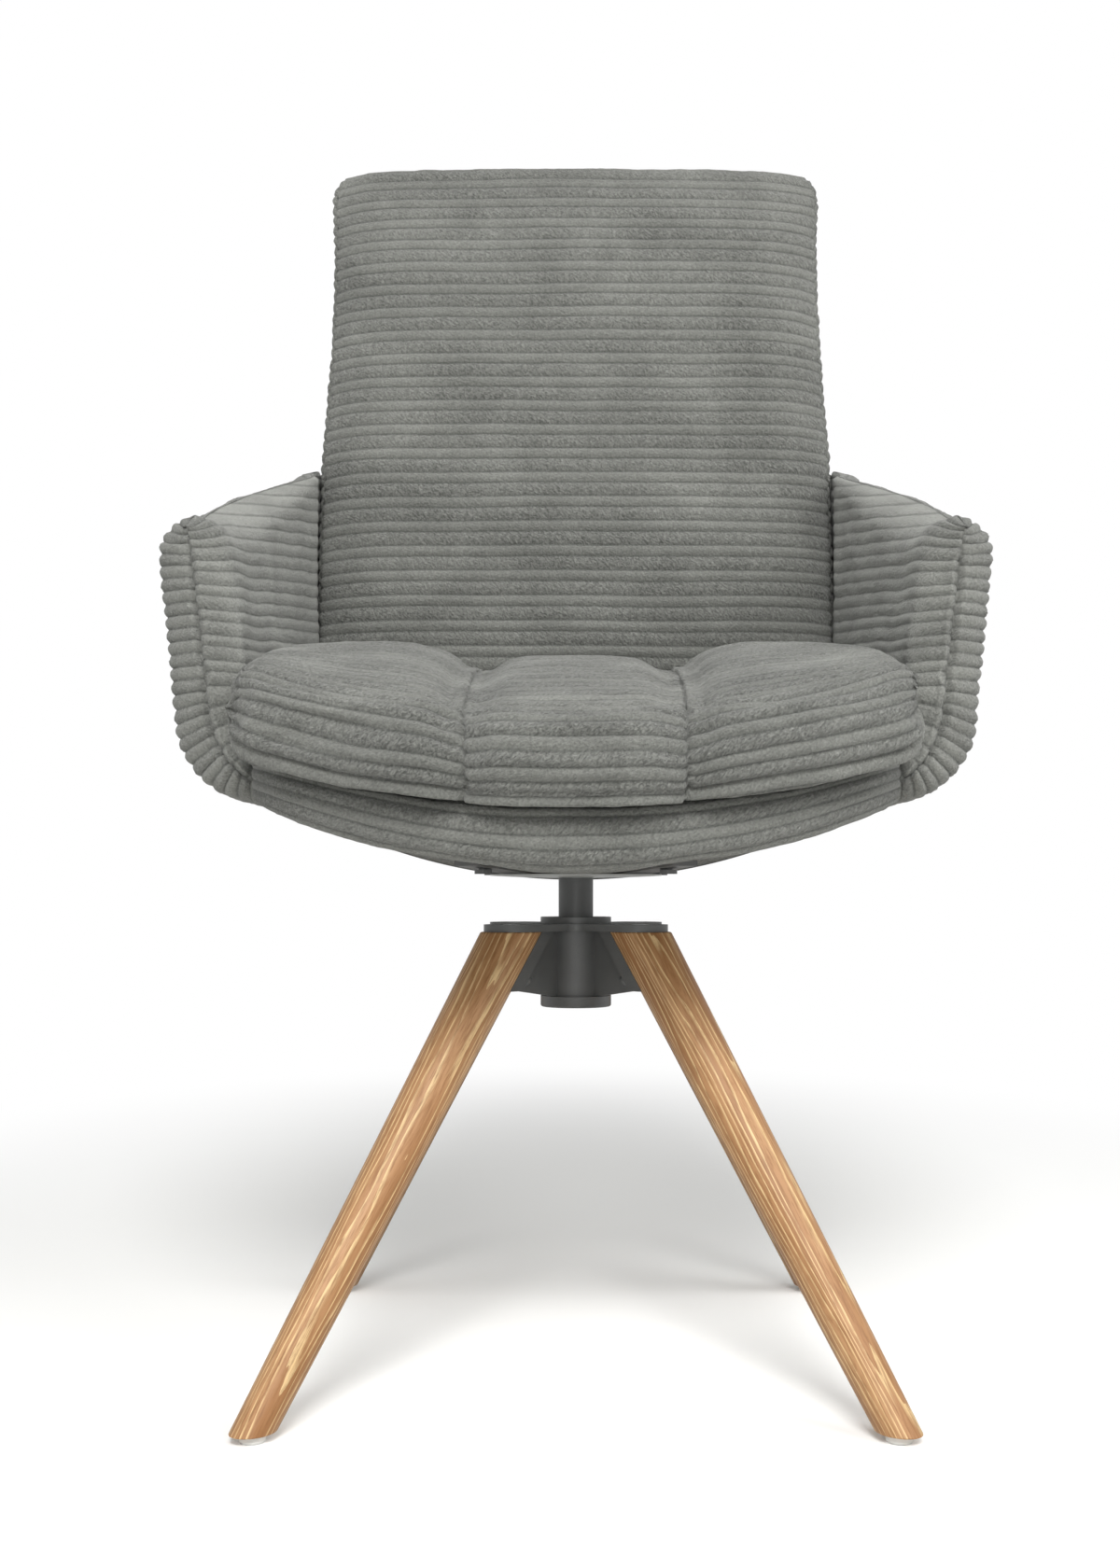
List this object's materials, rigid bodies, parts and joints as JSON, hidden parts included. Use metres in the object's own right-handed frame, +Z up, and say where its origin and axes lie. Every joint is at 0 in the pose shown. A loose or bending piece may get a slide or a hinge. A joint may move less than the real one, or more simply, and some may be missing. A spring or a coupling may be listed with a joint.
{
  "type": "swivel armchair",
  "caption": "Corduroy-upholstered swivel armchair with a channelled seat cushion, a raked back cushion and splayed turned-oak legs under a black steel hub.",
  "frame": {"origin": "on the floor, under the swivel axis, at the middle of the bounding box", "axes": "+Z up along the swivel axis; the sitter faces -Y; +X is the sitter's left"},
  "size_m": [0.562, 0.5789, 0.9597],
  "materials": {
    "oak": "clear-lacquered oak",
    "plywood": "raw moulded birch plywood",
    "black_powder_coat": "matt powder coat on steel and cast iron",
    "bare_steel": "bare rolled steel",
    "zinc_steel": "zinc-plated steel",
    "glide_plastic": "moulded white polyethylene",
    "grey_plastic": "moulded light grey plastic",
    "black_nylon": "moulded black nylon",
    "natural_nylon": "turned natural nylon",
    "foam": "cut polyurethane foam",
    "corduroy": "grey-green corduroy over foam"
  },
  "bodies": {
    "base": {"leg_rear_left": "oak", "glide_rear_left": "glide_plastic", "leg_rear_right": "oak", "glide_rear_right": "glide_plastic", "leg_front_right": "oak", "glide_front_right": "glide_plastic", "leg_front_left": "oak", "glide_front_left": "glide_plastic", "glide_pins": "zinc_steel", "leg_top_screws": "zinc_steel", "base_plate": "black_powder_coat", "hub_casting": "black_powder_coat", "cradle_screws": "black_powder_coat", "hub_upper_bush": "black_nylon", "thrust_washer": "natural_nylon", "hub_lower_bush": "natural_nylon"},
    "seat": {"spider": "black_powder_coat", "column_plug": "natural_nylon", "column": "black_powder_coat", "spider_bolts": "black_powder_coat", "swivel_cover": "grey_plastic", "retaining_washer": "zinc_steel", "retaining_bolt": "zinc_steel", "tee_nuts": "zinc_steel", "arm_frame_screws": "zinc_steel", "bracket_screws": "zinc_steel", "arm_frame_left": "bare_steel", "arm_frame_right": "bare_steel", "back_bracket": "bare_steel", "seat_pan": "plywood", "back_board": "plywood", "seat_foam": "foam", "bucket_pad": "corduroy", "arm_pad_left": "corduroy", "arm_pad_right": "corduroy", "outer_back_pad": "corduroy", "back_cushion": "corduroy", "seat_cushion": "corduroy"}
  },
  "joints": [
    {"name": "seat_swivel", "type": "hinge", "parent": "base", "child": "seat", "pos_m": [0, 0, 0.3], "axis": [0, 0, 1], "continuous": true}
  ]
}
